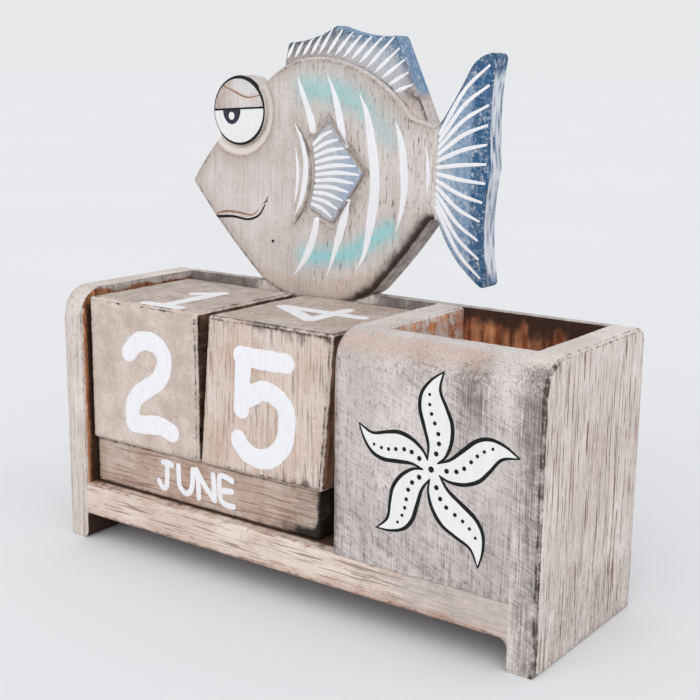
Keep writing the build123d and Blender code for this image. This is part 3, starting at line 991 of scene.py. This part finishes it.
# White stripes of the body: middle line and widths
stripes = [
    ([(-34.9, 172.3), (-33.0, 167.5), (-30.5, 161.8), (-28.7, 157.2), (-27.9, 154.0)],
     [0.3, 1.9, 2.4, 3.0, 3.2]),
    ([(-21.3, 173.3), (-19.6, 169.6), (-17.6, 164.8), (-16.4, 160.4), (-15.2, 155.5), (-13.9, 150.8),
      (-13.1, 148.4)],
     [0.3, 1.3, 2.2, 3.0, 3.3, 2.6, 0.9]),
    ([(-7.0, 166.6), (-4.3, 161), (-2.8, 155.5), (-1.8, 150), (-0.7, 143.8), (-0.2, 137), (-0.4, 131),
      (-1.4, 124.5), (-2.8, 117), (-4.7, 110), (-7.6, 104.8)],
     [0.5, 2.3, 3.3, 3.9, 4.1, 4.1, 4.1, 3.9, 2.7, 1.8, 0.3]),
    ([(8.4, 157.4), (10.2, 152.5), (11.3, 148), (11.9, 142.7), (12.3, 135), (11.5, 128.4), (10.0, 122.5),
      (8.9, 119.6)],
     [0.6, 2.3, 3.0, 3.2, 2.9, 2.4, 1.5, 0.2]),
    ([(20.9, 149.4), (21.8, 143.9), (22.0, 138.1), (21.5, 133)], [0.3, 1.4, 1.4, 0.2]),
    ([(-36.2, 155.6), (-33.6, 151.4), (-31.8, 145.6), (-31.1, 140.4), (-31.7, 134.4), (-33.1, 128.6),
      (-35.0, 124.4), (-36.0, 122.4)],
     [0.3, 1.5, 1.9, 2.2, 2.4, 2.3, 1.8, 0.3]),
    ([(-35.9, 147.1), (-35.1, 141.5), (-34.9, 137), (-35.5, 131), (-36.5, 126.3)], [0.2, 1.1, 1.5, 1.2, 0.2]),
    ([(-26.1, 121.0), (-26.9, 117), (-28.6, 112.2), (-31.3, 106.7), (-35.0, 101.7), (-37.2, 99.5)],
     [2.6, 2.9, 3.0, 3.0, 1.6, 0.2]),
    ([(-12.0, 129.0), (-13.4, 124.4), (-14.6, 119.5), (-16.3, 114.2), (-18.0, 109.3), (-20.4, 102.6),
      (-21.4, 100.7)],
     [1.8, 3.6, 3.6, 3.1, 2.1, 1.1, 0.2]),
]
for line, widths in stripes:
    white.stroke(line, widths)


def fan(roots, ends, count, widths, rise=0.5, lift=0.0):
    """White rays between two lines, each bent at half its way across and a share of its way up."""
    for root, end in zip(along_line(roots, count), along_line(ends, count)):
        white.stroke([root, root + (0.5, rise) * (end - root) + (0, lift), end], widths)


# Rays of the dorsal fin, which swell in the middle; of the tail, which start steep and flatten towards
# the rear edge; and of the pectoral fin, fanned from its hollow edge
fan(ray_bases, ray_tips, 15, [0.5, 1.5, 1.35, 0.85, 0.6])
tail_ray_roots = [(26.2, 154.4), (25.6, 141.0), (25.4, 129.4)]
tail_ray_ends = [
    (43.6, 177.0), (43.6, 165), (43.4, 150), (43.4, 140), (41.6, 127), (41.0, 118), (42.4, 106.5),
]
fan(tail_ray_roots, tail_ray_ends, 12, [1.2, 1.5, 1.4, 1.2, 0.8], rise=0.64)
pectoral_ray_roots = [(-27.6, 148.6), (-26.2, 137.6), (-28.2, 127.0)]
pectoral_ray_ends = [(-19.6, 153.6), (-6.8, 139.4), (-19.4, 122.8)]
fan(pectoral_ray_roots, pectoral_ray_ends, 11, [1.2, 1.5, 1.4, 0.8], lift=0.7)
white.dry("fish_white_paint", "carcass", "fish_wood", white_paint)

# Eye: white below the lid line, a hanging pupil, and a black outline that swells
eye_x = eye_middle[0]
white_radius = 12.5
outline_radius = 12.4
lid_left, lid_right = (eye_x - 12.4, 159.7), (eye_x + 12.3, 161.2)
lower_arc = oval(eye_middle, white_radius, white_radius, 180, 366, 44)
lid_line = [tuple(spot) for spot in along_line([lid_right, lid_left], 16)]
eye_white = Coat(FISH_COAT, on_fish)
eye_white.cap(lower_arc + lid_line[1:-1])
eye_white.dry("eye_white", "carcass", "fish_wood", eye_paint)

pupil = Coat(FISH_COAT * 1.6, on_fish)
pupil_x, pupil_half, pupil_drop = -66.8, 4.4, 5.6
pupil.patch(oval((pupil_x, 160.2), pupil_half, pupil_drop, 180, 360, 24))
pupil.dry("eye_pupil", "carcass", "fish_wood", navy_paint)

glint = Coat(FISH_COAT * 2.2, on_fish)
glint.dot((pupil_x, 157.7), 1.5, 0.95)
glint.dry("eye_glint", "carcass", "fish_wood", eye_paint)

black = Coat(FISH_COAT * 1.8, on_fish)
eye_outline = oval(eye_middle, outline_radius, outline_radius, 0, 360, 33)
black.stroke(eye_outline, [0.7, 1.25, 1.2, 0.9, 0.5, 0.6, 0.95, 1.2, 0.7], True)
black.stroke([lid_left, (eye_x, 160.5), lid_right], [0.85, 0.7, 0.8])
mouth = [(-76.4, 118.8), (-66.8, 119.6), (-59.2, 119.0), (-53.7, 121.0), (-50.7, 125.0)]
black.stroke(mouth, [1.2, 1.0, 0.85, 0.8, 0.5])
black.stroke([(-51.2, 125.6), (-50.2, 126.4), (-49.4, 126.6)], [0.3, 0.45, 0.3])
black.stroke([(-50.0, 126.8), (-49.2, 128.2)], [0.4, 0.25])
black.dot((-46.8, 111.7), 0.55)
black.dry("fish_black_lines", "carcass", "fish_wood", black_paint)

brown = Coat(FISH_COAT, on_fish)
brown.stroke(lid_crease, [0.3, 0.7, 0.6, 0.3])
upper_lip = [(-75.2, 120.3), (-69.5, 121.4), (-63.5, 121.3), (-57.5, 120.8), (-54.0, 122.8)]
brown.stroke(upper_lip, [0.4, 1.0, 0.9, 0.7, 0.25])
brown.dry("fish_brown_lines", "carcass", "fish_wood", brown_paint)

# Starfish on the front of the box: one arm's two edges, turned and stretched five times
star_middle = np.array([62.6, 57.7])
arm_tip = (3.7, 30.7)
arm_left = [(-1.2, 3.0), (-1.2, 7.6), (-2.8, 13.0), (-4.4, 18.6), (-3.8, 23.4), (-0.6, 27.6), arm_tip]
arm_right = [(2.3, 2.3), (5.0, 4.8), (6.9, 9.6), (7.0, 15.0), (5.0, 19.8), (2.6, 25.0), arm_tip]
arm_dots = [(1.7, 5.2), (2.6, 8.5), (2.3, 11.5), (1.0, 14.6), (-0.2, 17.3), (-0.9, 20.1), (-1.0, 23.2)]
arm_reach = 30.9
arm_heading = math.degrees(math.atan2(arm_tip[1], arm_tip[0]))
star_arms = [(83.5, 30.9), (16.8, 31.1), (-57.9, 32.3), (-130.7, 30.2), (-200.2, 28.6)]


def turned(points, heading, reach):
    """An arm's points turned to a heading and stretched to a reach, about the middle of the star."""
    angle = math.radians(heading - arm_heading)
    turn = np.array([[math.cos(angle), -math.sin(angle)], [math.sin(angle), math.cos(angle)]])
    return star_middle + reach / arm_reach * np.array(points) @ turn.T


on_box = on_plane((0, box_front_face, 0), (1, 0, 0), (0, 0, 1))
star_white, star_black = Coat(FISH_COAT, on_box), Coat(FISH_COAT * 1.7, on_box)
arm_edges = [[turned(points, *arm) for points in (arm_left, arm_right)] for arm in star_arms]
for (_, right), (next_left, _) in zip(arm_edges, arm_edges[1:] + arm_edges[:1]):
    right[0] = next_left[0] = (right[0] + next_left[0]) / 2
for arm, (left, right) in zip(star_arms, arm_edges):
    dots = turned(arm_dots, *arm)
    star_white.ribbon(*(along_line(curve(side), 40)[:-1] for side in (left, right)))
    star_black.stroke(left, [0.6, 1.2, 1.5, 1.35, 1.0, 0.5])
    star_black.stroke(right, [0.6, 1.25, 1.45, 1.2, 1.0, 0.5])
    for dot, radius in zip(dots, np.linspace(0.8, 0.5, len(dots))):
        star_black.dot(dot, radius)
star_black.dot(star_middle, 1.0)
star_white.patch([left[0] for left, right in arm_edges])
star_white.dry("starfish_white_paint", "carcass", "tray_wood", eye_paint)
star_black.dry("starfish_black_lines", "carcass", "tray_wood", black_paint)


# Brush lettering: each figure is a list of strokes in millimetres about its middle

def loop(middle_z, half_width, half_height):
    """A closed oval that starts at its top."""
    return oval((0, middle_z), half_width, half_height, 90, 450, 17)


digits = {
    "0": [loop(0, 9.5, 16)],
    "1": [[(0, 15.5), (0.3, -15.8)], [(0.6, 15.2), (-6.8, 8.4)], [(-7.5, -16), (7.5, -15.6)]],
    "2": [[(-10.4, 10.6), (-5.9, 14.8), (-1.6, 16.1), (3.6, 15.4), (7.0, 12), (7.2, 7.8), (4.5, 2.6),
           (-0.9, -1.1), (-6.3, -4.9), (-8.8, -9.2), (-9.1, -15.4)],
          [(-9, -15.5), (-3.3, -15.2), (4.6, -14.3), (10.4, -15.8)]],
    "3": [[(-9, 11.5), (-4, 15.8), (2, 16), (8, 12.5), (8, 6.5), (3, 1.8), (-2, 1)],
          [(-2, 1), (4, 0.5), (9.5, -4.5), (9.5, -10.5), (5, -15.5), (-2, -16.5), (-8, -14), (-10.5, -10.5)]],
    "4": [[(2.5, 17), (2.5, -17)], [(2.5, 17), (-4, 6), (-11, -5.2)], [(-11, -5.2), (10.5, -5.2)]],
    "5": [[(-9.5, 17.3), (-0.6, 17.2), (10, 17.4)], [(-8.6, 17.2), (-9, 9.5), (-9.7, -1.1)],
          [(-7, 3), (-0.7, 6.5), (4.9, 5.8), (9.4, 2.1), (10.2, -3.1), (8.8, -10.1), (4.3, -15.3),
           (-0.9, -17.3), (-6.1, -16.6), (-9.8, -14.1), (-11, -12.2)]],
    "6": [[(7, 15.5), (0, 13), (-6, 6), (-9, -3), (-8.5, -10), (-4.5, -15.5), (1, -16.5), (7, -13.5),
           (9.3, -7.5), (7.5, -1.8), (2, 1.2), (-4, 0), (-8, -4.5)]],
    "7": [[(-10, 16), (10, 16.2)], [(9.6, 15.6), (3, 3), (-2, -9), (-3.5, -16.5)]],
    "8": [loop(8.3, 6.8, 7.6), loop(-8.3, 8.8, 8.4)],
}
stem, leaning_stem = [(-2.8, 5), (-2.8, -5)], [(-2.8, 5), (-2.6, -5.2)]
round_c = [(3, 3.6), (0, 5.1), (-3, 2.6), (-3.2, -2.4), (0, -5.1), (3, -3.6)]
letters = {
    "A": [[(-3.4, -5.2), (0, 5.2)], [(0, 5.2), (3.6, -5.2)], [(-2, -1.4), (2.2, -1.4)]],
    "B": [stem, [(-2.8, 5), (1.6, 4.4), (1.8, 1), (-2.6, 0.2)],
          [(-2.6, 0.2), (2.6, -0.8), (2.4, -4.4), (-2.8, -5)]],
    "C": [round_c],
    "D": [stem, [(-2.8, 5), (2, 3.8), (3.2, 0), (2, -3.8), (-2.8, -5)]],
    "E": [[(2.8, 4.4), (0.4, 5.1), (-2.8, 5), (-3, 0), (-2.2, -4), (0.6, -5.1), (3.4, -4.9)],
          [(-2.4, -0.2), (2.6, 0.4)]],
    "F": [leaning_stem, [(-2.8, 5), (3, 4.8)], [(-2.6, 0.4), (2, 0.4)]],
    "G": [round_c + [(3, -0.4)], [(3, -0.4), (0.6, -0.4)]],
    "J": [[(-1.6, 4.8), (0.6, 5), (2.8, 4.5)], [(0.5, 4.8), (0.4, 0.4), (0, -4), (-2, -4.9), (-3.8, -2.6)]],
    "L": [[(-2.6, 5), (-2.6, -5)], [(-2.6, -5), (3, -4.8)]],
    "M": [[(-4, -5), (-3.4, 5)], [(-3.4, 5), (0, -1.6)], [(0, -1.6), (3.4, 5)], [(3.4, 5), (4, -5)]],
    "N": [[(-3.4, -5.2), (-3.6, 1), (-4.4, 5.2)], [(-4.2, 5), (-0.8, 0.4), (4, -4.4)],
          [(4.2, -4.4), (4, 0.6), (3.6, 4.8)]],
    "O": [loop(0, 3.3, 5)],
    "P": [leaning_stem, [(-2.8, 5), (2.4, 4.2), (2.6, 0.6), (-2.6, -0.2)]],
    "R": [leaning_stem, [(-2.8, 5), (2.2, 4.2), (2.2, 0.8), (-2.6, 0)], [(-1, 0), (3, -5.2)]],
    "S": [[(2.8, 3.8), (0, 5.1), (-2.8, 3.4), (0, 0.2), (2.8, -2.6), (0, -5.1), (-3, -3.6)]],
    "T": [[(-3.6, 5), (3.6, 5)], [(0, 5), (0, -5.2)]],
    "U": [[(-3.5, 4.8), (-3.4, 0.4), (-2.9, -2.8), (0, -4.8), (2.4, -3.2), (3.3, 0.4), (3.5, 4.8)]],
    "V": [[(-3.4, 5), (0, -5.2)], [(0, -5.2), (3.4, 5)]],
    "Y": [[(-3.4, 5), (0, 0)], [(3.4, 5), (0, 0)], [(0, 0), (0, -5.2)]],
}
BLOCK_COAT = 0.07
DIGIT_STROKE = 7.0
TOP_DIGIT_STROKE = 5.2
LETTER_STROKE = 2.2
LETTER_PITCH = 9.6
WORD_SHIFT = -2.5


def write(coat, text, font, width, middle=(0.0, 0.0), pitch=0.0):
    """Writes figures in a row on the coat's face, about a middle point."""
    start = middle[0] - pitch * (len(text) - 1) / 2
    for index, sign in enumerate(text):
        for line in font[sign]:
            spots = np.array(line) + (start + index * pitch, middle[1])
            ends_meet = len(line) > 3 and np.allclose(line[0], line[-1])
            coat.stroke(spots, [width] * 2, ends_meet)


def block_faces(low, high, lean=0.0):
    """The faces of a block whose left and right may lean: each by its middle, its right and its up."""
    middle = (low + high) / 2
    side_up = np.array([lean, 0, high[Z] - low[Z]])
    side_up /= np.linalg.norm(side_up)
    top_middle = (middle[X] + lean / 2, middle[Y], high[Z])
    spots = {
        "front": ((middle[X], low[Y], middle[Z]), (1, 0, 0), (0, 0, 1)),
        "top": (top_middle, (1, 0, 0), (0, 1, 0)),
        "turned_top": (top_middle, (0, 1, 0), (-1, 0, 0)),
        "back": ((middle[X], high[Y], middle[Z]), (-1, 0, 0), (0, 0, 1)),
        "bottom": ((middle[X], middle[Y], low[Z]), (1, 0, 0), (0, -1, 0)),
        "left": ((low[X] + lean / 2, middle[Y], middle[Z]), (0, -1, 0), side_up),
        "right": ((high[X] - lean / 2, middle[Y], middle[Z]), (0, 1, 0), side_up),
    }
    return {name: on_plane(*spot) for name, spot in spots.items()}


# Digits of the cubes, and the middles of those that aren't centred; the units cube is sawn out of square
units_lean = (units_high[X] - units_low[X]) - (units_high[Y] - units_low[Y])
cube_faces = ["front", "top", "back", "left", "right", "bottom"]
cubes = [
    ("tens", 0.0, cube_faces, "210678"),
    ("units", units_lean, ["front", "turned_top"] + cube_faces[2:], "540123"),
]
digit_middles = {"2front": (3.6, -2.3), "1top": (7.0, -7.0), "5front": (0.1, -2.6)}
for cube, lean, places, figures in cubes:
    faces = block_faces(*box_mm(cube + "_cube"), lean)
    coat = Coat(BLOCK_COAT)
    for face, digit in zip(places, figures):
        width = TOP_DIGIT_STROKE if "top" in face else DIGIT_STROKE
        coat.place = faces[face]
        write(coat, digit, digits, width, digit_middles.get(digit + face, (0.0, 0.0)))
    coat.dry(cube + "_digits", cube + "_cube", "cube_wood", white_paint)

# Twelve months on three bars of four sides; the front bar shows its own on the front
months = {
    "front": ["JUNE", "JULY", "AUG", "MAY"],
    "middle": ["SEP", "OCT", "NOV", "DEC"],
    "rear": ["JAN", "FEB", "MAR", "APR"],
}
for place, words in months.items():
    faces = block_faces(*box_mm("month_bar_" + place))
    coat = Coat(BLOCK_COAT)
    for face, word in zip(("front", "top", "back", "bottom"), words):
        coat.place = faces[face]
        write(coat, word, letters, LETTER_STROKE, (WORD_SHIFT, 0), LETTER_PITCH)
    coat.dry("month_words_" + place, place + "_bar", "bar_wood", white_paint)


# Stage, light and camera

def studio_floor():
    """Pale round floor, wide enough to run into the equally pale background."""
    radius, sides = 40.0, 96
    bm = bmesh.new()
    rings = []
    for share in (0.01, 0.05, 0.25, 1.0):
        circle = oval((0, 0), share * radius, share * radius, 0, 360, sides + 1)[:-1]
        rings.append([bm.verts.new((*spot, 0)) for spot in circle])
    bm.faces.new(rings[0])
    for inner, outer in zip(rings, rings[1:]):
        bridge(bm, outer, inner)
    n = Nodes("studio_paper")
    colour = n.mix(n.noise(n.millimetres(), 0.004), paint(225, 226, 228), paint(228, 229, 231))
    floor = new_piece("studio_floor", bm, n.shade(colour, 0.9, 0.0))


studio_floor()

# Soft light from two wide parts of the sky: the way it travels, and its power
lights = [("front_light", (-0.12, 0.8, -0.55), 0.9), ("right_light", (-0.9, 0.3, -0.5), 0.6)]
for name, toward, power in lights:
    light = bpy.data.lights.new(name, "SUN")
    light.energy = power
    light.angle = math.radians(70)
    lamp = bpy.data.objects.new(name, light)
    lamp.rotation_euler = Vector(toward).to_track_quat("-Z", "Y").to_euler()
    bpy.context.scene.collection.objects.link(lamp)

world = bpy.data.worlds.new("studio")
world.use_nodes = True
world.node_tree.nodes["Background"].inputs["Color"].default_value = paint(231, 232, 234)
bpy.context.scene.world = world
bpy.context.scene.view_settings.view_transform = "Standard"

camera_data = bpy.data.cameras.new("photo_camera")
camera_data.lens = 65.05
camera_data.sensor_width = 36.0
camera_data.clip_start = 0.01
camera_spot = Vector((257.4, -343.0, 175.1)) * MM
yaw, pitch, roll = (math.radians(angle) for angle in (36.09, 12.48, 0.57))
ahead = Vector((-math.sin(yaw) * math.cos(pitch), math.cos(yaw) * math.cos(pitch), -math.sin(pitch)))
level_right = Vector((math.cos(yaw), math.sin(yaw), 0))
level_up = level_right.cross(ahead)
right = level_right * math.cos(roll) + level_up * math.sin(roll)
up = level_up * math.cos(roll) - level_right * math.sin(roll)
camera = bpy.data.objects.new("photo_camera", camera_data)
camera.matrix_world = Matrix.Translation(camera_spot) @ Matrix((right, up, -ahead)).transposed().to_4x4()
bpy.context.scene.collection.objects.link(camera)
bpy.context.scene.camera = camera
